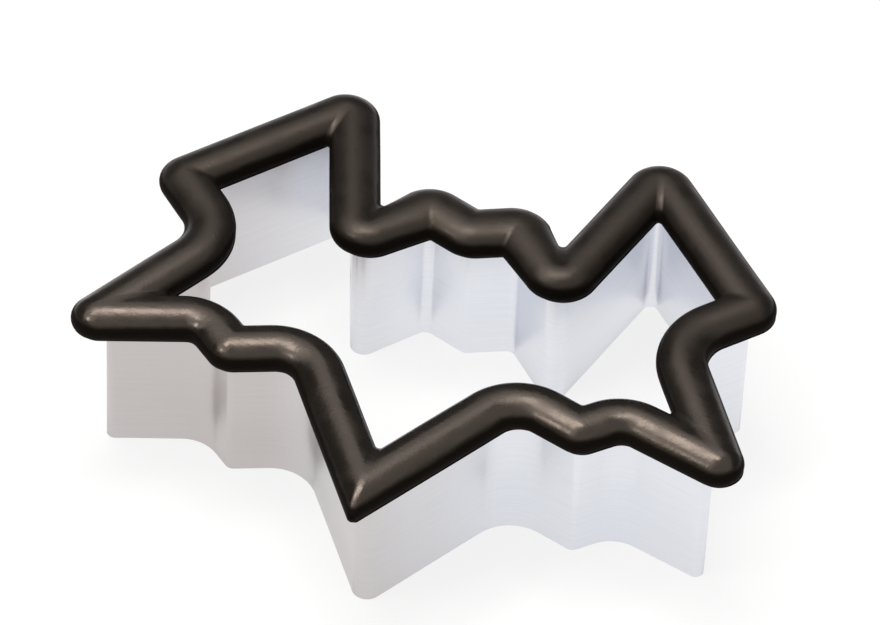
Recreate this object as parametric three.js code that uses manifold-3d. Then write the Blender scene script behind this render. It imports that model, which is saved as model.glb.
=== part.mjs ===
// A bat-shaped cookie cutter: a bent stainless strip whose lapped ends are spot welded,
// with a soft moulded grip pushed over its top edge. Millimetres, +Z up.
import * as THREE from "three";
import { LoftGeometry } from "three/addons/geometries/LoftGeometry.js";
import { mergeVertices } from "three/addons/utils/BufferGeometryUtils.js";
import Module from "manifold-3d";

// Strip
const STRIP_THICKNESS = 0.4;
const CUTTING_DEPTH = 28.2;

// Lapped seam of the strip
const LAP_LENGTH = 8;
const LAP_GAP = 0.1;
const JOGGLE_LENGTH = 1.5;
const JOGGLE_GAP = 0.3;

// Spot welds through the lap
const WELD_COUNT = 3;
const WELD_DIAMETER = 3;
const DISH_DIAMETER = 2.1;
const DISH_DEPTH = 0.08;
const WELD_FIT = 0.05;

// Grip
const GRIP_WIDTH = 9.8;
const GRIP_HEIGHT = 6.6;
const GRIP_FOOT = 4;
const SLOT_DEPTH = 4.4;
const SLOT_FIT = 0.15;

// Right half of the bat. X is measured from its middle line and Y from the corner of its tail,
// both to the corners of the strip's own middle line.
const TAIL_SCALLOP_X = 19.4;
const TAIL_SCALLOP_Y = 30.2;
const WEB_RUN = 13.4;
const WEB_DROP = 4.8;
const WING_SCALLOP_RUN = 6.6;
const WING_SCALLOP_RISE = 5.8;
const LOWER_TIP_X = 58.6;
const LOWER_TIP_Y = 25.2;
const WING_HOLLOW_X = 42.7;
const WING_HOLLOW_Y = 52.3;
const UPPER_TIP_X = 54.7;
const UPPER_TIP_Y = 64.6;
const WRIST_X = 29.8;
const WRIST_Y = 92.3;
const SHOULDER_X = 19.5;
const SHOULDER_Y = 58.8;
const EAR_X = 8.5;
const EAR_RISE = 3.5;
const CROWN_Y = 67.6;

// Bend radii of the strip
const TAIL_BEND = 2.6;
const TAIL_SCALLOP_BEND = 8.7;
const WEB_BEND = 1.5;
const WING_SCALLOP_BEND = 7.5;
const LOWER_TIP_BEND = 1.4;
const WING_HOLLOW_BEND = 10.8;
const UPPER_TIP_BEND = 1.5;
const WRIST_BEND = 1.7;
const SHOULDER_BEND = 2.4;
const EAR_BEND = 2.2;
const CROWN_BEND = 1.5;

// Outer corner radii of the grip where it turns more sharply than the strip
const TAIL_POINT = 1;
const WEB_POINT = 5.1;
const LOWER_TIP_POINT = 5.1;
const UPPER_TIP_POINT = 6.1;

// A corner of the outline. The grip follows the strip's bend unless its own outer radius is given:
// then its middle line turns that much more sharply, and below zero it is a mitre.
function corner(name, x, y, stripBend, gripPoint = stripBend + GRIP_WIDTH / 2) {
  return { name, x, y, stripBend, gripBend: gripPoint - GRIP_WIDTH / 2 };
}

// From the tail round the wing to the crown between the ears.
const WEB_X = TAIL_SCALLOP_X + WEB_RUN;
const WEB_Y = TAIL_SCALLOP_Y - WEB_DROP;
const HALF_OUTLINE = [
  corner("tail", 0, 0, TAIL_BEND, TAIL_POINT),
  corner("tail scallop", TAIL_SCALLOP_X, TAIL_SCALLOP_Y, TAIL_SCALLOP_BEND),
  corner("web", WEB_X, WEB_Y, WEB_BEND, WEB_POINT),
  corner("wing scallop", WEB_X + WING_SCALLOP_RUN, WEB_Y + WING_SCALLOP_RISE, WING_SCALLOP_BEND),
  corner("lower tip", LOWER_TIP_X, LOWER_TIP_Y, LOWER_TIP_BEND, LOWER_TIP_POINT),
  corner("wing hollow", WING_HOLLOW_X, WING_HOLLOW_Y, WING_HOLLOW_BEND),
  corner("upper tip", UPPER_TIP_X, UPPER_TIP_Y, UPPER_TIP_BEND, UPPER_TIP_POINT),
  corner("wrist", WRIST_X, WRIST_Y, WRIST_BEND),
  corner("shoulder", SHOULDER_X, SHOULDER_Y, SHOULDER_BEND),
  corner("ear", EAR_X, CROWN_Y + EAR_RISE, EAR_BEND),
  corner("crown", 0, CROWN_Y, CROWN_BEND),
];

// The lap lies in the middle of the left wing's wall between these two corners.
const SEAM_FROM = "shoulder";
const SEAM_TO = "wrist";

// Facets
const FACET_ANGLE = THREE.MathUtils.degToRad(15);
const GRIP_FACETS = 16;
const WELD_FACETS = 24;
const MERGE_DISTANCE = 1e-4;

const STEEL = new THREE.MeshStandardMaterial({ color: 0xd9dbdc, roughness: 0.25, metalness: 1 });
const WELDED_STEEL = new THREE.MeshStandardMaterial({ color: 0xb4b4b2, roughness: 0.45, metalness: 1 });
const RUBBER = new THREE.MeshStandardMaterial({ color: 0x3a3430, roughness: 0.5, metalness: 0 });

const LATHE_AXIS = new THREE.Vector3(0, 1, 0);
const LAP_SHIFT = STRIP_THICKNESS + LAP_GAP;
const LAP_THICKNESS = STRIP_THICKNESS + LAP_SHIFT;
const STRIP_HEIGHT = CUTTING_DEPTH + SLOT_DEPTH - SLOT_FIT;

// The outline runs anticlockwise seen from above, so a wall's outer side is on its right.
function outerNormal(from, to) {
  const along = to.clone().sub(from).normalize();
  return new THREE.Vector2(along.y, -along.x);
}

// The whole outline: the right half, then its mirror image back to the tail.
function wholeOutline() {
  const mirrored = HALF_OUTLINE.slice(1, -1).reverse().map((spot) => ({ ...spot, x: -spot.x, left: true }));
  const spots = [...HALF_OUTLINE, ...mirrored];
  return spots.map((spot) => ({ ...spot, point: new THREE.Vector2(spot.x, spot.y) }));
}

// How much of a wall one unit of bend radius takes up at a corner.
function bendReach(before, spot, after) {
  const normalIn = outerNormal(before.point, spot.point);
  const normalOut = outerNormal(spot.point, after.point);
  return Math.tan(Math.acos(THREE.MathUtils.clamp(normalIn.dot(normalOut), -1, 1)) / 2);
}

// The largest bend that leaves room on both walls for the grip's mitre at their other ends.
function largestBend(spots, index) {
  const at = (step) => spots[(index + step + spots.length) % spots.length];
  const room = (step) => {
    const mitre = bendReach(at(step - 1), at(step), at(step + 1)) * (GRIP_WIDTH / 2);
    return at(0).point.distanceTo(at(step).point) - mitre;
  };
  return Math.min(room(-1), room(1)) / bendReach(at(-1), at(0), at(1));
}

// The stations of one corner: the places where every outline round it has a point.
function cornerStations(spots, index) {
  const spot = spots[index];
  const normalIn = outerNormal(spots.at(index - 1).point, spot.point);
  const normalOut = outerNormal(spot.point, spots[(index + 1) % spots.length].point);
  const turn = Math.atan2(normalIn.cross(normalOut), normalIn.dot(normalOut));
  const mitre = normalIn.clone().add(normalOut).divideScalar(1 + normalIn.dot(normalOut));
  const facets = Math.ceil(Math.abs(turn) / FACET_ANGLE);
  const origin = new THREE.Vector2();
  const largest = largestBend(spots, index);
  return Array.from({ length: facets + 1 }, (_, step) => ({
    point: spot.point,
    mitre,
    side: Math.sign(turn),
    normal: normalIn.clone().rotateAround(origin, (turn * step) / facets),
    stripBend: Math.min(spot.stripBend, largest),
    gripBend: Math.min(spot.gripBend, largest),
    lap: 0,
  }));
}

// A station on the straight seam wall. lap is how much of the lap's shift it takes.
function wallStation(seam, distance, lap) {
  const point = seam.start.clone().addScaledVector(seam.along, distance);
  return { point, mitre: seam.normal, side: 1, normal: seam.normal, stripBend: 0, gripBend: 0, lap };
}

// The point of an outline that lies a given distance outside the strip's middle line.
function offsetPoint(station, offset, bendName) {
  const radius = Math.max(station[bendName] + station.side * offset, 0);
  const rounded = station.side * radius;
  const point = station.point.clone().addScaledVector(station.mitre, offset - rounded);
  return point.addScaledVector(station.normal, rounded);
}

function stripPoint(station, offset) {
  return offsetPoint(station, offset + station.lap * LAP_SHIFT, "stripBend");
}

// Stations of all corners, starting just after the seam wall and ending just before it.
function outlineStations() {
  const spots = wholeOutline();
  const count = spots.length;
  const seamEnd = spots.findIndex((spot) => spot.left && spot.name === SEAM_TO);
  const stations = [];
  for (let step = 0; step < count; step += 1) {
    stations.push(...cornerStations(spots, (seamEnd + step) % count));
  }
  const start = spots.find((spot) => spot.left && spot.name === SEAM_FROM).point;
  const end = spots[seamEnd].point;
  const seam = {
    start,
    along: end.clone().sub(start).normalize(),
    normal: outerNormal(start, end),
    middle: start.distanceTo(end) / 2,
  };
  return { stations, seam };
}

// Geometry with shared vertices and without the empty triangles of sharp corners.
function closedGeometry(source) {
  const bare = new THREE.BufferGeometry();
  bare.setAttribute("position", source.getAttribute("position"));
  bare.setIndex(source.getIndex());
  const merged = mergeVertices(bare, MERGE_DISTANCE);
  const corners = merged.getIndex().array;
  const kept = [];
  for (let i = 0; i < corners.length; i += 3) {
    const [a, b, c] = corners.subarray(i, i + 3);
    if (a !== b && b !== c && c !== a) kept.push(a, b, c);
  }
  merged.setIndex(kept);
  return merged;
}

const wasm = await Module();
wasm.setup();

function solidOf(geometry) {
  const closed = closedGeometry(geometry);
  const vertProperties = closed.getAttribute("position").array;
  const triVerts = new Uint32Array(closed.getIndex().array);
  return new wasm.Manifold(new wasm.Mesh({ numProp: 3, vertProperties, triVerts }));
}

function geometryOf(solid) {
  const { vertProperties, triVerts } = solid.getMesh();
  const geometry = new THREE.BufferGeometry();
  geometry.setAttribute("position", new THREE.BufferAttribute(vertProperties, 3));
  geometry.setIndex(new THREE.BufferAttribute(triVerts, 1));
  geometry.computeVertexNormals();
  return geometry;
}

function namedMesh(name, geometry, material) {
  const mesh = new THREE.Mesh(geometry, material);
  mesh.name = name;
  return mesh;
}

// The strip from its free end under the lap, once round the bat, and over that end again.
function stripShape(stations, seam) {
  const lapStart = seam.middle - LAP_LENGTH / 2;
  const path = [
    wallStation(seam, lapStart, 0),
    ...stations,
    wallStation(seam, lapStart - JOGGLE_GAP - JOGGLE_LENGTH, 0),
    wallStation(seam, lapStart - JOGGLE_GAP, 1),
    wallStation(seam, lapStart + LAP_LENGTH, 1),
  ];
  const outer = path.map((station) => stripPoint(station, STRIP_THICKNESS / 2));
  const inner = path.map((station) => stripPoint(station, -STRIP_THICKNESS / 2));
  return new THREE.Shape([...outer, ...inner.reverse()]);
}

// Middle of each spot weld: halfway along the lap, halfway through its two layers.
function weldPlaces(seam) {
  const plan = stripPoint(wallStation(seam, seam.middle, 0), LAP_SHIFT / 2);
  const spacing = CUTTING_DEPTH / WELD_COUNT;
  return Array.from({ length: WELD_COUNT }, (_, i) => new THREE.Vector3(plan.x, plan.y, (i + 0.5) * spacing));
}

function weldTurn(seam) {
  const through = new THREE.Vector3(seam.normal.x, seam.normal.y, 0);
  return new THREE.Quaternion().setFromUnitVectors(LATHE_AXIS, through);
}

function cuttingBand(stations, seam) {
  const strip = new THREE.ExtrudeGeometry(stripShape(stations, seam), {
    depth: STRIP_HEIGHT,
    bevelEnabled: false,
  });
  const holeRadius = WELD_DIAMETER / 2 + WELD_FIT;
  const unit = new THREE.Vector3(1, 1, 1);
  let band = solidOf(strip);
  for (const place of weldPlaces(seam)) {
    const hole = new THREE.CylinderGeometry(holeRadius, holeRadius, 2 * LAP_THICKNESS, WELD_FACETS);
    hole.applyMatrix4(new THREE.Matrix4().compose(place, weldTurn(seam), unit));
    band = band.subtract(solidOf(hole));
  }
  return namedMesh("cutting_band", geometryOf(band), STEEL);
}

// A weld nugget through both layers, with the shallow dish that each electrode presses in.
function spotWeld(number, place, seam) {
  const rim = WELD_DIAMETER / 2;
  const dish = DISH_DIAMETER / 2;
  const face = LAP_THICKNESS / 2;
  const floor = face - DISH_DEPTH;
  const profile = [
    new THREE.Vector2(0, -floor),
    new THREE.Vector2(dish, -floor),
    new THREE.Vector2(rim, -face),
    new THREE.Vector2(rim, face),
    new THREE.Vector2(dish, floor),
    new THREE.Vector2(0, floor),
  ];
  const nugget = closedGeometry(new THREE.LatheGeometry(profile, WELD_FACETS));
  const weld = namedMesh(`spot_weld_${number}`, nugget, WELDED_STEEL);
  weld.position.copy(place);
  weld.quaternion.copy(weldTurn(seam));
  return weld;
}

// The grip's section at one station: over the crown from the inner to the outer foot,
// then round the slot in its underside.
function gripSection(station) {
  const halfWidth = GRIP_WIDTH / 2;
  const footAngle = Math.acos(GRIP_FOOT / GRIP_WIDTH);
  const halfHeight = GRIP_HEIGHT / (1 + Math.sin(footAngle));
  const middle = CUTTING_DEPTH + GRIP_HEIGHT - halfHeight;
  const sweep = Math.PI + 2 * footAngle;
  const ring = [];
  for (let step = 0; step <= GRIP_FACETS; step += 1) {
    const angle = Math.PI + footAngle - (sweep * step) / GRIP_FACETS;
    const point = offsetPoint(station, halfWidth * Math.cos(angle), "gripBend");
    ring.push(new THREE.Vector3(point.x, point.y, middle + halfHeight * Math.sin(angle)));
  }
  const slotSide = STRIP_THICKNESS / 2 + SLOT_FIT;
  const outer = stripPoint(station, slotSide);
  const inner = stripPoint({ ...station, lap: 0 }, -slotSide);
  const ceiling = CUTTING_DEPTH + SLOT_DEPTH;
  ring.push(new THREE.Vector3(outer.x, outer.y, CUTTING_DEPTH));
  ring.push(new THREE.Vector3(outer.x, outer.y, ceiling));
  ring.push(new THREE.Vector3(inner.x, inner.y, ceiling));
  ring.push(new THREE.Vector3(inner.x, inner.y, CUTTING_DEPTH));
  return ring;
}

// The slot is wider where it takes the lapped ends.
function gripStations(stations, seam) {
  const lapStart = seam.middle - LAP_LENGTH / 2;
  const lapEnd = lapStart + LAP_LENGTH;
  const widened = lapStart - JOGGLE_GAP - SLOT_FIT;
  return [
    ...stations,
    wallStation(seam, widened - JOGGLE_LENGTH, 0),
    wallStation(seam, widened, 1),
    wallStation(seam, lapEnd + SLOT_FIT, 1),
    wallStation(seam, lapEnd + SLOT_FIT + JOGGLE_LENGTH, 0),
  ];
}

function cushionGrip(stations, seam) {
  const sections = gripStations(stations, seam).map(gripSection);
  const loft = new LoftGeometry([...sections, sections[0]]);
  return namedMesh("cushion_grip", closedGeometry(loft), RUBBER);
}

function cookieCutter() {
  const { stations, seam } = outlineStations();
  const cutter = new THREE.Group();
  const grip = cushionGrip(stations, seam);
  const welds = weldPlaces(seam).map((place, i) => spotWeld(i + 1, place, seam));
  cutter.add(cuttingBand(stations, seam), ...welds, grip);

  // The origin is under the middle of the whole cutter, on the plane of its cutting edge.
  const middle = new THREE.Box3().setFromObject(grip).getCenter(new THREE.Vector3()).setZ(0);
  cutter.children.forEach((piece) => piece.position.sub(middle));
  return cutter;
}

export default cookieCutter();
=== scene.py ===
"""Looks of a bat-shaped cookie cutter: a bent stainless strip with a soft moulded grip on its top edge."""
import math

import bpy
from mathutils import Matrix, Vector, noise


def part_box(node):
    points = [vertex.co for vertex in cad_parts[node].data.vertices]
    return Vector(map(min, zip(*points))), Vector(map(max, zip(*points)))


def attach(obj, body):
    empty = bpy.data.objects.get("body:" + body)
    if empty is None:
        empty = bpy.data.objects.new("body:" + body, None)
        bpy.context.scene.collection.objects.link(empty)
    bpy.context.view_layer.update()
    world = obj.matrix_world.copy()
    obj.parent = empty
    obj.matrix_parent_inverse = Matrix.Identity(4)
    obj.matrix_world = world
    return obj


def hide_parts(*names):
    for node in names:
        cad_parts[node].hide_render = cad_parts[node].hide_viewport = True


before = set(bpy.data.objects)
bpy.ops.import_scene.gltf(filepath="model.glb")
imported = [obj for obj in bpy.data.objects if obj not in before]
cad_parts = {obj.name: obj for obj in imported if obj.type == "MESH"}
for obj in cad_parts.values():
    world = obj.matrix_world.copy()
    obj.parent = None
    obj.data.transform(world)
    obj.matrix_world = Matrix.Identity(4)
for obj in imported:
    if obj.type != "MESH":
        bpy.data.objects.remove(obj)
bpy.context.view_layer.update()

MM = 0.001

# Strip, seam and grip, in millimetres
STRIP_THICKNESS = 0.4
CUTTING_DEPTH = 28.2
LAP_LENGTH = 8.0
LAP_GAP = 0.1
JOGGLE_LENGTH = 1.5
JOGGLE_GAP = 0.3
WELDS = (1, 2, 3)
WELD_DIAMETER = 3.0
DISH_DIAMETER = 2.1
DISH_DEPTH = 0.08
DISH_SLOPE = 0.3
WELD_FIT = 0.05
WELD_FACETS = 48
GRIP_WIDTH = 9.8
GRIP_HEIGHT = 6.6
GRIP_FOOT = 4.0
SLOT_DEPTH = 4.4
SLOT_FIT = 0.15

# Corners of the right half of the bat: name, X from its middle, Y from its tail, strip bend, grip bend.
# A grip bend below zero is a mitre.
HALF_OUTLINE = [
    ("tail", 0.0, 0.0, 2.6, -3.9),
    ("tail scallop", 19.4, 30.2, 8.7, 8.7),
    ("web", 32.8, 25.4, 1.5, 0.2),
    ("wing scallop", 39.4, 31.2, 7.5, 7.5),
    ("lower tip", 58.6, 25.2, 1.4, 0.2),
    ("wing hollow", 42.7, 52.3, 10.8, 10.8),
    ("upper tip", 54.7, 64.6, 1.5, 1.2),
    ("wrist", 29.8, 92.3, 1.7, 1.7),
    ("shoulder", 19.5, 58.8, 2.4, 2.4),
    ("ear", 8.5, 71.1, 2.2, 2.2),
    ("crown", 0.0, 67.6, 1.5, 1.5),
]

# Finish of the moulding. The crown leans outwards, in full from this share of the bead's half height on.
GRIP_LEAN = math.radians(5)
LEAN_RISE = 0.7
PARTING_DROP = 1.2
PARTING_GROOVE = 0.16
PARTING_ANGLE = 0.06
MOULD_SHIFT = Vector((0.34, 0.06))
INNER_FILLET = 0.9
FOOT_ROUND = 0.5
GRIP_WAVINESS = 0.05
GRIP_WAVE_LENGTH = 16.0
HEAD_SWELL = 0.15
CROWN_STEPS = 15
FLANK_STEPS = 7
GRIP_SMOOTH_ANGLE = math.radians(40)

# Finish of the strip and its welds
EDGE_ROUND = 0.05
EDGE_ANGLE = math.radians(60)
DISH_EDGE_ANGLE = math.radians(10)
STRIP_WAVINESS = 0.06
STRIP_WAVE_LENGTH = 15.0
WAVE_SEED = 7
STEEL_SMOOTH_ANGLE = math.radians(30)

# Facets round the bends and along the walls
BEND_STEP = math.radians(4)
LEAST_FACETS = 6
WALL_STEP = 3.0
MERGE_DISTANCE = 1e-7

# Sizes of the patterns in the materials, in millimetres
RUBBER_PATCH = 14.0
RUBBER_SMEAR = 5.0
RUBBER_GRAIN = 0.7
STEEL_PATCH = 30.0
ROLLED_LINE = 12.0
ROLLED_LINE_RATIO = 30.0
WELD_MOTTLE = 0.5

# Heights above the bead's middle where the grip is rubbed, and the Y between which it loses its polish
RUBBED_FROM = 1.7
RUBBED_FULLY = 2.5
RUBBED_UNEVEN = 0.8
POLISH_FULL_Y = -20.0
POLISH_LOST_Y = 10.0

# Painted shade and painted light on the steel: where it is darker and warm and where paler and cool, along
# a slant across the bat, and the Y between which painted light makes it lighter
PAINTED_SHADE_SLANT = (0.8, 0.6, 0.0)
PAINTED_SHADE_END = -32.0
PAINTED_LIGHT_START = 4.0
PAINTED_LIGHT_FROM_Y = 8.0
PAINTED_LIGHT_TO_Y = 40.0

# Distances from a weld's middle between which the heat's tint fades out on the strip and comes in on
# the weld
STRIP_TINT = (1.2, 2.6)
WELD_TINT = (0.7, 1.4)

# Light of the room, where 1 would make a white floor white, and the share of plain white in the floor
# as the camera sees it and as a reflection shows it
ROOM_LIGHT = 0.12
FLOOR_WHITE = 0.8
FLOOR_MIRRORED = 0.85
FLOOR_SIZE = 20.0

# Lamps: name, place, width and depth in metres, radiance, tint. All point at the cutter.
LAMPS = [
    ("overhead_softbox", (0.12, -0.15, 1.0), 2.1, 1.9, 0.86, "#fdfcfb"),
    ("softbox_middle", (-0.35, 0.14, 0.98), 1.7, 0.84, 1.25, "#fdfcfb"),
    ("crown_panel", (-0.25, 0.15, 0.93), 0.46, 0.14, 12.0, "#fffaf6"),
    ("right_panel", (0.0, 0.17, 0.91), 0.2, 0.14, 13.5, "#fffaf6"),
    ("left_panel", (-0.5, -0.34, 0.8), 0.16, 0.16, 10.5, "#fff6f0"),
]

# Photograph's camera
CAMERA_AZIMUTH = math.radians(14.49)
CAMERA_ELEVATION = math.radians(45.31)
CAMERA_ROLL = math.radians(2.77)
CAMERA_DISTANCE = 1185.7
CAMERA_TARGET_X = 0.49
CAMERA_TARGET_Y = 46.3
CAMERA_FOCAL_PIXELS = 6509.7
IMAGE_WIDTH = 880
SENSOR_WIDTH = 36.0
NEAREST_SEEN = 0.01

LAP_SHIFT = STRIP_THICKNESS + LAP_GAP
STRIP_HEIGHT = CUTTING_DEPTH + SLOT_DEPTH - SLOT_FIT
FOOT_ANGLE = math.acos(GRIP_FOOT / GRIP_WIDTH)
GRIP_HALF_HEIGHT = GRIP_HEIGHT / (1 + math.sin(FOOT_ANGLE))
GRIP_MIDDLE = CUTTING_DEPTH + GRIP_HEIGHT - GRIP_HALF_HEIGHT
LAP_THICKNESS = STRIP_THICKNESS + LAP_SHIFT
DRILL_LENGTH = 4 * LAP_SHIFT


def deselect_all():
    for thing in bpy.context.selected_objects:
        thing.select_set(False)


def right_of(direction):
    return Vector((direction.y, -direction.x))


class Corner:
    """One corner of the outline, which runs anticlockwise seen from above."""

    def __init__(self, name, x, y, strip_bend, grip_bend, left):
        self.name = name
        self.left = left
        self.point = Vector((x, y))
        self.bend = {"strip": strip_bend, "grip": grip_bend}

    def meet(self, before, after):
        """Works out the turn between the walls on both sides."""
        self.along_out = (after.point - self.point).normalized()
        normal_in = right_of((self.point - before.point).normalized())
        normal_out = right_of(self.along_out)
        cross = normal_in.x * normal_out.y - normal_in.y * normal_out.x
        self.turn = math.atan2(cross, normal_in.dot(normal_out))
        self.side = math.copysign(1, self.turn)
        self.normal_in = normal_in
        self.mitre = (normal_in + normal_out) / (1 + normal_in.dot(normal_out))

    def at(self, part, offset, which, least=0.0):
        """The point a share of the way round this corner, a distance outside the strip's middle line."""
        radius = max(self.bend[which] + self.side * offset, least)
        normal = Matrix.Rotation(self.turn * part, 2) @ self.normal_in
        return self.point + self.mitre * (offset - self.side * radius) + normal * (self.side * radius)


def bat_corners():
    right = [Corner(*spot, left=False) for spot in HALF_OUTLINE]
    left = [Corner(name, -x, y, strip, grip, left=True) for name, x, y, strip, grip in HALF_OUTLINE[1:-1]]
    corners = right + left[::-1]
    start = next(i for i, corner in enumerate(corners) if corner.left and corner.name == "wrist")
    corners = corners[start:] + corners[:start]
    for i, corner in enumerate(corners):
        corner.meet(corners[i - 1], corners[(i + 1) % len(corners)])
    return corners


corners = bat_corners()

# The seam lies in the middle of the wall from the last corner, a shoulder, to the first, a wrist.
seam_start = corners[-1].point
seam_along = corners[-1].along_out
seam_normal = right_of(seam_along)
seam_middle = (corners[0].point - seam_start).length / 2
lap_start = seam_middle - LAP_LENGTH / 2

# The drawing's Y of the frame's origin, from where the frame holds the middle weld.
weld_low, weld_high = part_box("spot_weld_2")
weld_drawn = seam_start + seam_along * seam_middle + seam_normal * (LAP_SHIFT / 2)
origin_y = weld_drawn.y - (weld_low[1] + weld_high[1]) / 2 / MM


def placed(point, height):
    """A point of the drawing in the frame, in metres."""
    return Vector((point.x, point.y - origin_y, height)) * MM


# Section of the grip: distance outside the strip's middle line, height, outline that it follows,
# share of the lap's shift and share of the mould's shift.
def grip_section():
    half_width = GRIP_WIDTH / 2 - MOULD_SHIFT.x / 4
    parting = math.asin(PARTING_DROP / GRIP_HALF_HEIGHT)
    foot_side = GRIP_FOOT / 2
    slot_side = STRIP_THICKNESS / 2 + SLOT_FIT
    leaned_crown = math.hypot(half_width * math.sin(GRIP_LEAN), GRIP_HALF_HEIGHT * math.cos(GRIP_LEAN))

    def on_ellipse(angle):
        return half_width * math.cos(angle), GRIP_MIDDLE + GRIP_HALF_HEIGHT * math.sin(angle)

    def leaned(across, height, which, lap, shift):
        """Leans the bead's upper part outwards, about its middle, and keeps the crown's height."""
        rise = height - GRIP_MIDDLE
        part = max(0.0, min(1.0, rise / (LEAN_RISE * GRIP_HALF_HEIGHT)))
        share = part * part * (3 - 2 * part)
        angle = GRIP_LEAN * share
        outward = across * math.cos(angle) + rise * math.sin(angle)
        upward = rise * math.cos(angle) - across * math.sin(angle)
        lowered = upward - (leaned_crown - GRIP_HALF_HEIGHT) * share
        return outward, GRIP_MIDDLE + lowered, which, lap, shift

    half = []
    for step in range(CROWN_STEPS + 1):
        angle = math.pi / 2 - (math.pi / 2 + parting) * step / CROWN_STEPS
        half.append((*on_ellipse(angle), "grip", 0, 0))
    across, height = on_ellipse(-parting)
    half.append((across - PARTING_GROOVE, height - PARTING_GROOVE / 2, "grip", 0, 0.5))
    flank_angle = -parting - PARTING_ANGLE
    foot_angle = -math.acos((foot_side + FOOT_ROUND) / half_width)
    for step in range(FLANK_STEPS + 1):
        angle = flank_angle + (foot_angle - flank_angle) * step / FLANK_STEPS
        half.append((*on_ellipse(angle), "grip", 0, 1))
    half.append((foot_side + FOOT_ROUND / 4, CUTTING_DEPTH + FOOT_ROUND / 12, "grip", 0, 1))
    half.append((foot_side - FOOT_ROUND, CUTTING_DEPTH, "grip", 0, 1))
    half.append((slot_side + SLOT_FIT, CUTTING_DEPTH, "strip", 1, 0))
    half.append((slot_side, CUTTING_DEPTH + SLOT_FIT, "strip", 1, 0))
    half.append((slot_side, CUTTING_DEPTH + SLOT_DEPTH, "strip", 1, 0))
    inner = [(-across, *rest) for across, *rest in half[1:]]
    return [leaned(*spot) if spot[2] == "grip" else spot for spot in half[::-1] + inner]


def lap_share(distance, clearance):
    """How far the strip's outer layer is set out, by distance along the seam wall."""
    rise = (distance - (lap_start - JOGGLE_GAP - clearance - JOGGLE_LENGTH)) / JOGGLE_LENGTH
    fall = (lap_start + LAP_LENGTH + clearance + JOGGLE_LENGTH - distance) / JOGGLE_LENGTH
    return max(0.0, min(1.0, rise, fall))


def outline_stations():
    """Places round the outline: a corner, the share of its turn, and the share of the wall after it."""
    stations = []
    for i, corner in enumerate(corners):
        facets = max(LEAST_FACETS, math.ceil(abs(corner.turn) / BEND_STEP))
        stations += [(i, step / facets, 0.0) for step in range(facets + 1)]
        wall = (corners[(i + 1) % len(corners)].point - corner.point).length
        pieces = max(2, round(wall / WALL_STEP))
        stations += [(i, 1.0, step / pieces) for step in range(1, pieces)]
    return stations


def station_point(station, offset, which, least=0.0):
    i, part, along = station
    point = corners[i].at(part, offset, which, least)
    if along:
        following = corners[(i + 1) % len(corners)].at(0.0, offset, which, least)
        point = point.lerp(following, along)
    return point


def head_share(station):
    """1 round the bat's head, where the bead is thicker, and 0 from its shoulders on."""
    i, _, along = station
    here = corners[i].name in ("ear", "crown")
    following = corners[(i + 1) % len(corners)].name in ("ear", "crown")
    return here * (1 - along) + following * along


def soft_grip():
    """The moulded bead: a sheet rolled up to the bead's section and laid round the bat, then closed."""
    section = grip_section()
    stations = outline_stations()
    deselect_all()
    bpy.ops.mesh.primitive_grid_add(x_subdivisions=len(section), y_subdivisions=len(stations))
    grip = bpy.context.object
    grip.name = "soft_grip"
    section.append(section[0])
    stations.append(stations[0])
    places = []
    for station in stations:
        middle = station_point(station, 0.0, "grip", INNER_FILLET)
        wave = noise.noise(Vector((middle.x, middle.y, 0.0)) / GRIP_WAVE_LENGTH)
        swell = 1 + (wave - 1) * GRIP_WAVINESS / GRIP_WIDTH * 2 + HEAD_SWELL * head_share(station)
        for offset, height, which, lap, shift in section:
            least = INNER_FILLET if which == "grip" else 0.0
            spread = offset * swell if which == "grip" else offset
            point = station_point(station, spread, which, least) + MOULD_SHIFT * shift
            if lap and offset > 0 and station[0] == len(corners) - 1:
                distance = (point - seam_start).dot(seam_along)
                point += seam_normal * LAP_SHIFT * lap_share(distance, SLOT_FIT)
            places.extend(placed(point, height))
    grip.data.vertices.foreach_set("co", places)
    grip.data.update()
    bpy.ops.object.mode_set(mode="EDIT")
    bpy.ops.mesh.select_all(action="SELECT")
    bpy.ops.mesh.remove_doubles(threshold=MERGE_DISTANCE)
    bpy.ops.mesh.normals_make_consistent(inside=False)
    bpy.ops.object.mode_set(mode="OBJECT")
    bpy.ops.object.shade_smooth_by_angle(angle=GRIP_SMOOTH_ANGLE)
    return grip


def modify(piece, kind, **settings):
    """Adds a modifier with its settings and applies it."""
    bpy.context.view_layer.objects.active = piece
    made = piece.modifiers.new(kind.lower(), kind)
    for name, value in settings.items():
        setattr(made, name, value)
    bpy.ops.object.modifier_apply(modifier=made.name)


def weld_centre(number):
    low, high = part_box("spot_weld_%d" % number)
    return (Vector(low) + Vector(high)) / 2


def weld_cylinder(number, radius, depth):
    """A cylinder round the Z axis, and the place where the frame holds this weld."""
    deselect_all()
    bpy.ops.mesh.primitive_cylinder_add(vertices=WELD_FACETS, radius=radius * MM, depth=depth * MM)
    return bpy.context.object, weld_centre(number)


def set_through_lap(piece, centre):
    """Turns a piece made round the Z axis into the lap's direction and keeps its place in its mesh."""
    through = Vector((seam_normal.x, seam_normal.y, 0.0))
    piece.rotation_euler = Vector((0, 0, 1)).rotation_difference(through).to_euler()
    piece.location = centre
    bpy.ops.object.transform_apply(location=True, rotation=True, scale=True)


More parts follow.
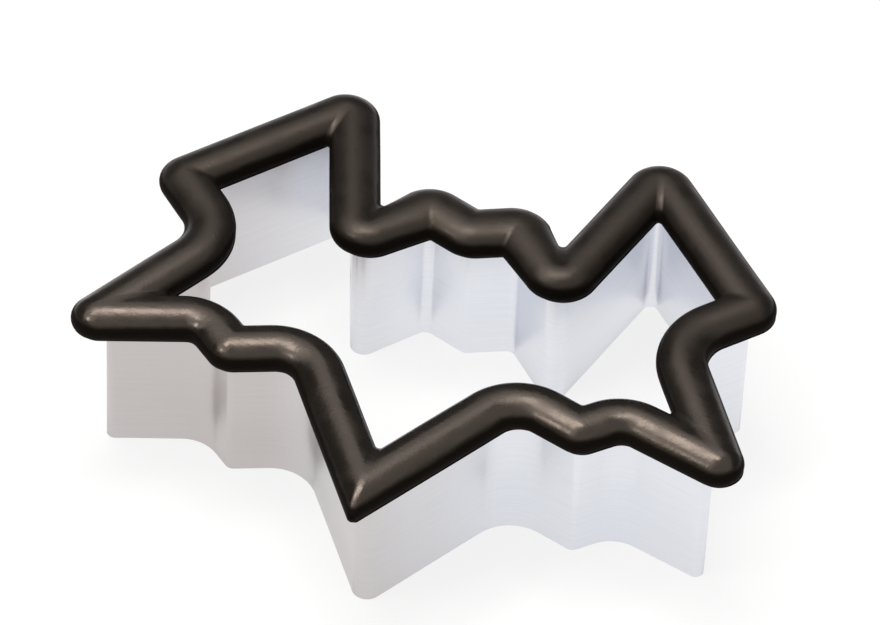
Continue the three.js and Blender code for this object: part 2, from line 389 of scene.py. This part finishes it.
def sweep_strip():
    """Sweeps the strip's end as the strip is bent: straight along each wall, then round each bend."""
    deselect_all()
    free_end = seam_start + seam_along * lap_start
    bpy.ops.mesh.primitive_plane_add(size=1.0)
    strip = bpy.context.object
    strip.name = "stainless_strip"
    across = Vector((seam_normal.x, seam_normal.y, 0)) * STRIP_THICKNESS * MM
    upward = Vector((0, 0, STRIP_HEIGHT * MM))
    middle = placed(free_end, STRIP_HEIGHT / 2)
    for vertex in strip.data.vertices:
        vertex.co = middle + across * vertex.co.x + upward * vertex.co.y
    bpy.ops.object.mode_set(mode="EDIT")
    bpy.ops.mesh.select_all(action="SELECT")

    def along_wall(start, end):
        steps = max(1, round((end - start).length / WALL_STEP))
        step = (placed(end, 0) - placed(start, 0)) / steps
        for _ in range(steps):
            bpy.ops.mesh.extrude_region_move(TRANSFORM_OT_translate={"value": step})

    here = free_end
    for corner in corners:
        bend_start = corner.at(0.0, 0.0, "strip")
        along_wall(here, bend_start)
        centre = bend_start - corner.normal_in * corner.side * corner.bend["strip"]
        steps = max(LEAST_FACETS, math.ceil(abs(corner.turn) / BEND_STEP))
        # A positive spin turns clockwise.
        bpy.ops.mesh.spin(steps=steps, angle=-corner.turn, center=placed(centre, 0), axis=(0, 0, 1))
        here = corner.at(1.0, 0.0, "strip")
    joggle_end = lap_start - JOGGLE_GAP
    foot = seam_start + seam_along * (joggle_end - JOGGLE_LENGTH)
    head = seam_start + seam_along * joggle_end + seam_normal * LAP_SHIFT
    along_wall(here, foot)
    along_wall(foot, head)
    along_wall(head, head + seam_along * (LAP_LENGTH + JOGGLE_GAP))
    bpy.ops.mesh.select_all(action="SELECT")
    bpy.ops.mesh.remove_doubles(threshold=MERGE_DISTANCE)
    bpy.ops.mesh.normals_make_consistent(inside=False)
    bpy.ops.object.mode_set(mode="OBJECT")
    return strip


def stainless_strip():
    """The bent strip with its deburred edges, weld holes and the slight waves of thin sheet."""
    strip = sweep_strip()
    modify(strip, "BEVEL", width=EDGE_ROUND * MM, segments=2, limit_method="ANGLE", angle_limit=EDGE_ANGLE)
    for number in WELDS:
        drill, centre = weld_cylinder(number, WELD_DIAMETER / 2 + WELD_FIT, DRILL_LENGTH)
        set_through_lap(drill, centre)
        modify(strip, "BOOLEAN", object=drill, operation="DIFFERENCE", solver="EXACT")
        bpy.data.objects.remove(drill)
    seam = placed(weld_drawn, 0)
    # Without a seed, noise_vector starts from the clock.
    noise.seed_set(WAVE_SEED)
    for vertex in strip.data.vertices:
        flat = Vector((vertex.co.x, vertex.co.y, 0.0))
        wave = noise.noise_vector(flat / (STRIP_WAVE_LENGTH * MM))
        away = min(1.0, (flat - seam).length / (STRIP_WAVE_LENGTH * MM))
        vertex.co += Vector((wave.x, wave.y, 0.0)) * (STRIP_WAVINESS * MM * away)
    deselect_all()
    strip.select_set(True)
    bpy.context.view_layer.objects.active = strip
    bpy.ops.object.shade_smooth_by_angle(angle=STEEL_SMOOTH_ANGLE)
    return strip


def spot_weld(number):
    """One weld: a nugget flush with both faces of the lap, with the dish of an electrode in each."""
    weld, centre = weld_cylinder(number, WELD_DIAMETER / 2, LAP_THICKNESS)
    weld.name = "pressed_weld_%d" % number
    bpy.ops.object.mode_set(mode="EDIT")
    bpy.ops.mesh.select_mode(type="FACE")
    bpy.ops.mesh.select_all(action="DESELECT")
    bpy.ops.object.mode_set(mode="OBJECT")
    for face in weld.data.polygons:
        face.select = abs(face.normal.z) > 0.5
    bpy.ops.object.mode_set(mode="EDIT")
    bpy.ops.mesh.inset(thickness=(WELD_DIAMETER - DISH_DIAMETER) / 2 * MM, use_individual=True)
    bpy.ops.mesh.inset(thickness=DISH_SLOPE * MM, use_individual=True)
    bpy.ops.transform.resize(value=(1, 1, 1 - 2 * DISH_DEPTH / LAP_THICKNESS))
    bpy.ops.object.mode_set(mode="OBJECT")
    rounding = DISH_SLOPE * MM / 3
    modify(weld, "BEVEL", width=rounding, segments=3, limit_method="ANGLE", angle_limit=DISH_EDGE_ANGLE)
    set_through_lap(weld, centre)
    bpy.ops.object.shade_smooth_by_angle(angle=STEEL_SMOOTH_ANGLE)
    return weld


def linear(code):
    """An sRGB hex colour as linear RGBA."""
    values = [int(code[i : i + 2], 16) / 255 for i in (1, 3, 5)]
    return [v / 12.92 if v <= 0.04045 else ((v + 0.055) / 1.055) ** 2.4 for v in values] + [1.0]


def add(tree, kind, inputs=None, **settings):
    """Adds a node with its settings. An input is a value or another node's output."""
    made = tree.nodes.new(kind)
    for name, value in settings.items():
        setattr(made, name, value)
    for socket, value in (inputs or {}).items():
        if isinstance(value, bpy.types.NodeSocket):
            tree.links.new(value, made.inputs[socket])
        else:
            made.inputs[socket].default_value = value
    return made


def new_material(name):
    material = bpy.data.materials.new(name)
    material.use_nodes = True
    material.node_tree.nodes.clear()
    return material, material.node_tree


def per_metre(size_mm):
    """Noise scale for features of a given size."""
    return 1 / (size_mm * MM)


def weld_distance(tree, place):
    """Distance of a point from the nearest weld."""
    nearest = None
    for number in WELDS:
        ends = {0: place, 1: weld_centre(number)}
        away = add(tree, "ShaderNodeVectorMath", ends, operation="DISTANCE").outputs["Value"]
        if nearest:
            away = add(tree, "ShaderNodeMath", {0: nearest, 1: away}, operation="MINIMUM").outputs[0]
        nearest = away
    return nearest


# Thermoplastic rubber, injection moulded: a warm charcoal that is matt on its flanks, as the mould left it,
# and rubbed to an uneven satin over the crown, most towards the tail, with a fine grain that breaks the
# highlights.
def moulded_rubber():
    material, tree = new_material("moulded_charcoal_rubber")
    place = add(tree, "ShaderNodeTexCoord").outputs["Object"]
    axes = add(tree, "ShaderNodeSeparateXYZ", {0: place}).outputs
    patches = add(tree, "ShaderNodeTexNoise", {
        "Vector": place, "Scale": per_metre(RUBBER_PATCH), "Detail": 3,
    }).outputs[0]
    # The mould's grain is about 0.1 mm; it is drawn coarser, as it would be too fine to show.
    grain = add(tree, "ShaderNodeTexNoise", {
        "Vector": place, "Scale": per_metre(RUBBER_GRAIN), "Detail": 2,
    }).outputs[0]
    smears = add(tree, "ShaderNodeTexNoise", {
        "Vector": place, "Scale": per_metre(RUBBER_SMEAR), "Detail": 4,
    }).outputs[0]
    uneven = add(tree, "ShaderNodeMath", {
        0: smears, 1: RUBBED_UNEVEN * MM, 2: axes["Z"],
    }, operation="MULTIPLY_ADD").outputs[0]
    rubbed = add(tree, "ShaderNodeMapRange", {
        "Value": uneven,
        "From Min": (GRIP_MIDDLE + RUBBED_FROM) * MM, "From Max": (GRIP_MIDDLE + RUBBED_FULLY) * MM,
    }, interpolation_type="SMOOTHSTEP").outputs[0]
    colour = add(tree, "ShaderNodeMix", {
        0: patches, 6: linear("#0e0b08"), 7: linear("#17130f"),
    }, data_type="RGBA").outputs[2]
    headward = add(tree, "ShaderNodeMapRange", {
        "Value": axes["Y"], "From Min": POLISH_FULL_Y * MM, "From Max": POLISH_LOST_Y * MM,
    }).outputs[0]
    handled = add(tree, "ShaderNodeMapRange", {
        "Value": smears, "From Min": 0.3, "From Max": 0.7, "To Min": 0.15, "To Max": 0.36,
    }).outputs[0]
    satin = add(tree, "ShaderNodeMath", {
        0: headward, 1: 0.12, 2: handled,
    }, operation="MULTIPLY_ADD").outputs[0]
    rough = add(tree, "ShaderNodeMix", {0: rubbed, 2: 0.55, 3: satin}).outputs[0]
    polish = add(tree, "ShaderNodeMapRange", {
        "Value": headward, "To Min": 0.8, "To Max": 0.54,
    }).outputs[0]
    shine = add(tree, "ShaderNodeMapRange", {
        "Value": rubbed, "To Min": 0.03, "To Max": polish,
    }).outputs[0]
    bump = add(tree, "ShaderNodeBump", {
        "Height": grain, "Strength": 0.25, "Distance": 0.1 * MM,
    }).outputs[0]
    shader = add(tree, "ShaderNodeBsdfPrincipled", {
        "Base Color": colour, "Roughness": rough, "Normal": bump, "IOR": 1.45,
        "Specular IOR Level": shine, "Specular Tint": linear("#ffecdb"),
    })
    add(tree, "ShaderNodeOutputMaterial", {"Surface": shader.outputs[0]})
    return material


# Stainless steel strip, bright cold rolled: a pale satin mirror with a fine grain along its length, which
# draws its reflections out upwards. It has painted shade, a darker warm tone at the left wing, and painted
# light, a paler cool tone towards the right and a lighter tone towards the head, and is straw round each
# weld.
def rolled_stainless():
    material, tree = new_material("bright_rolled_stainless")
    place = add(tree, "ShaderNodeTexCoord").outputs["Object"]
    patches = add(tree, "ShaderNodeTexNoise", {
        "Vector": place, "Scale": per_metre(STEEL_PATCH), "Detail": 1,
    }).outputs[0]
    # The rolled lines are about 0.05 mm apart; they are drawn coarser, as they would be too fine to show.
    stretched = add(tree, "ShaderNodeMapping", {
        "Vector": place, "Scale": (1, 1, ROLLED_LINE_RATIO),
    }).outputs[0]
    lines = add(tree, "ShaderNodeTexNoise", {
        "Vector": stretched, "Scale": per_metre(ROLLED_LINE), "Detail": 3,
    }).outputs[0]
    # Painted shade and painted light: the warm tone is darker and stands for a shadowed floor in the left
    # wing's reflection, the cool tone is paler and stands for a lit floor towards the right.
    warm_painted_shade = add(tree, "ShaderNodeMix", {
        0: patches, 6: linear("#cbc3c0"), 7: linear("#c9c6c6"),
    }, data_type="RGBA").outputs[2]
    cool_painted_light = add(tree, "ShaderNodeMix", {
        0: patches, 6: linear("#ebebee"), 7: linear("#e6eaf2"),
    }, data_type="RGBA").outputs[2]
    slant = add(tree, "ShaderNodeVectorMath", {
        0: place, 1: PAINTED_SHADE_SLANT,
    }, operation="DOT_PRODUCT").outputs["Value"]
    spread = add(tree, "ShaderNodeMapRange", {
        "Value": slant, "From Min": PAINTED_SHADE_END * MM, "From Max": PAINTED_LIGHT_START * MM,
    }).outputs[0]
    steel_and_painted_shade = add(tree, "ShaderNodeMix", {0: spread, 6: warm_painted_shade, 7: cool_painted_light}, data_type="RGBA").outputs[2]
    heat = add(tree, "ShaderNodeMapRange", {
        "Value": weld_distance(tree, place),
        "From Min": STRIP_TINT[0] * MM, "From Max": STRIP_TINT[1] * MM,
    }).outputs[0]
    tinted = add(tree, "ShaderNodeMix", {
        0: heat, 6: linear("#c6bca8"), 7: steel_and_painted_shade,
    }, data_type="RGBA").outputs[2]
    grain = add(tree, "ShaderNodeMapRange", {
        "Value": lines, "From Min": 0.3, "From Max": 0.7, "To Min": 0.97, "To Max": 1.02,
    }).outputs[0]
    along = add(tree, "ShaderNodeSeparateXYZ", {0: place}).outputs["Y"]
    # Painted light: the steel's colour is made up to 8 % lighter towards the head.
    headward = add(tree, "ShaderNodeMapRange", {
        "Value": along, "From Min": PAINTED_LIGHT_FROM_Y * MM, "From Max": PAINTED_LIGHT_TO_Y * MM,
        "To Min": 1.0, "To Max": 1.08,
    }).outputs[0]
    shade = add(tree, "ShaderNodeMath", {0: grain, 1: headward}, operation="MULTIPLY").outputs[0]
    colour = add(tree, "ShaderNodeVectorMath", {0: tinted, "Scale": shade}, operation="SCALE").outputs[0]
    rough = add(tree, "ShaderNodeMapRange", {"Value": lines, "To Min": 0.25, "To Max": 0.37}).outputs[0]
    bump = add(tree, "ShaderNodeBump", {
        "Height": lines, "Strength": 0.03, "Distance": 0.05 * MM,
    }).outputs[0]
    round_about = add(tree, "ShaderNodeTangent", direction_type="RADIAL", axis="Z").outputs[0]
    shader = add(tree, "ShaderNodeBsdfPrincipled", {
        "Base Color": colour, "Metallic": 1.0, "Roughness": rough, "Normal": bump,
        "Anisotropic": 0.5, "Anisotropic Rotation": 0.25, "Tangent": round_about,
    })
    add(tree, "ShaderNodeOutputMaterial", {"Surface": shader.outputs[0]})
    return material


# Spot weld pressed by electrodes: the same steel, dulled in its dish and straw coloured at its rim by
# the heat.
def pressed_weld():
    material, tree = new_material("pressed_heat_tinted_weld")
    place = add(tree, "ShaderNodeTexCoord").outputs["Object"]
    heat = add(tree, "ShaderNodeMapRange", {
        "Value": weld_distance(tree, place),
        "From Min": WELD_TINT[0] * MM, "From Max": WELD_TINT[1] * MM,
    }).outputs[0]
    mottle = add(tree, "ShaderNodeTexNoise", {
        "Vector": place, "Scale": per_metre(WELD_MOTTLE), "Detail": 3,
    }).outputs[0]
    dulled = add(tree, "ShaderNodeMix", {
        0: mottle, 6: linear("#a09e9c"), 7: linear("#b4b1ad"),
    }, data_type="RGBA").outputs[2]
    colour = add(tree, "ShaderNodeMix", {
        0: heat, 6: dulled, 7: linear("#bdb29d"),
    }, data_type="RGBA").outputs[2]
    rough = add(tree, "ShaderNodeMapRange", {"Value": mottle, "To Min": 0.32, "To Max": 0.5}).outputs[0]
    bump = add(tree, "ShaderNodeBump", {
        "Height": mottle, "Strength": 0.25, "Distance": 0.05 * MM,
    }).outputs[0]
    shader = add(tree, "ShaderNodeBsdfPrincipled", {
        "Base Color": colour, "Metallic": 1.0, "Roughness": rough, "Normal": bump,
    })
    add(tree, "ShaderNodeOutputMaterial", {"Surface": shader.outputs[0]})
    return material


def seen_rays(tree):
    """How white the floor is seen: in part by the camera and in a reflection, and not by falling light."""
    rays = add(tree, "ShaderNodeLightPath").outputs
    straight = add(tree, "ShaderNodeMath", {
        0: rays["Is Camera Ray"], 1: FLOOR_WHITE,
    }, operation="MULTIPLY").outputs[0]
    mirrored = add(tree, "ShaderNodeMath", {
        0: rays["Is Glossy Ray"], 1: FLOOR_MIRRORED,
    }, operation="MULTIPLY").outputs[0]
    either = add(tree, "ShaderNodeMath", {0: straight, 1: mirrored}, operation="MAXIMUM").outputs[0]
    through = {0: either, 1: rays["Is Transmission Ray"]}
    return add(tree, "ShaderNodeMath", through, operation="MAXIMUM").outputs[0]


# Matt white paper sweep: white to the eye, with the shadows that fall on it kept at part strength.
def studio_floor():
    deselect_all()
    bpy.ops.mesh.primitive_plane_add(size=FLOOR_SIZE)
    floor = bpy.context.object
    floor.name = "studio_floor"
    material, tree = new_material("matt_white_paper")
    paper = add(tree, "ShaderNodeBsdfPrincipled", {"Base Color": linear("#fafafa"), "Roughness": 0.9})
    white = add(tree, "ShaderNodeEmission", {"Color": (1, 1, 1, 1), "Strength": 1.0})
    look = add(tree, "ShaderNodeMixShader", {
        0: seen_rays(tree), 1: paper.outputs[0], 2: white.outputs[0],
    })
    add(tree, "ShaderNodeOutputMaterial", {"Surface": look.outputs[0]})
    floor.data.materials.append(material)


def studio_light():
    """A dim room under a large softbox with a bright middle, and small panels that draw highlights."""
    world = bpy.data.worlds.new("studio_room")
    bpy.context.scene.world = world
    world.use_nodes = True
    tree = world.node_tree
    tree.nodes.clear()
    room = add(tree, "ShaderNodeBackground", {"Color": (1, 1, 1, 1), "Strength": ROOM_LIGHT})
    add(tree, "ShaderNodeOutputWorld", {"Surface": room.outputs[0]})
    for name, place, width, depth, radiance, tint in LAMPS:
        data = bpy.data.lights.new(name, "AREA")
        data.color = linear(tint)[:3]
        data.shape = "RECTANGLE"
        data.size = width
        data.size_y = depth
        data.energy = radiance * math.pi * width * depth
        lamp = bpy.data.objects.new(name, data)
        bpy.context.collection.objects.link(lamp)
        lamp.location = place
        lamp.rotation_euler = Vector(place).to_track_quat("Z", "Y").to_euler()


def photo_camera():
    data = bpy.data.cameras.new("photo_camera")
    camera = bpy.data.objects.new("photo_camera", data)
    bpy.context.collection.objects.link(camera)
    level = math.cos(CAMERA_ELEVATION)
    back = Vector((
        math.sin(CAMERA_AZIMUTH) * level, -math.cos(CAMERA_AZIMUTH) * level, math.sin(CAMERA_ELEVATION)
    ))
    right = Vector((0, 0, 1)).cross(back).normalized()
    up = back.cross(right)
    turned_right = right * math.cos(CAMERA_ROLL) + up * math.sin(CAMERA_ROLL)
    turned_up = up * math.cos(CAMERA_ROLL) - right * math.sin(CAMERA_ROLL)
    target = placed(Vector((CAMERA_TARGET_X, CAMERA_TARGET_Y)), GRIP_MIDDLE)
    camera.matrix_world = Matrix((turned_right, turned_up, back)).transposed().to_4x4()
    camera.location = target + back * CAMERA_DISTANCE * MM
    data.sensor_fit = "HORIZONTAL"
    data.sensor_width = SENSOR_WIDTH
    data.lens = CAMERA_FOCAL_PIXELS * SENSOR_WIDTH / IMAGE_WIDTH
    data.clip_start = NEAREST_SEEN
    bpy.context.scene.camera = camera


grip = soft_grip()
grip.data.materials.append(moulded_rubber())
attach(grip, "root")
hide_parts("cushion_grip")

strip = stainless_strip()
strip.data.materials.append(rolled_stainless())
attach(strip, "root")
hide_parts("cutting_band")

weld_steel = pressed_weld()
for number in WELDS:
    weld = spot_weld(number)
    weld.data.materials.append(weld_steel)
    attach(weld, "root")
    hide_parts("spot_weld_%d" % number)

studio_floor()
studio_light()
photo_camera()

bpy.context.scene.view_settings.view_transform = "Standard"
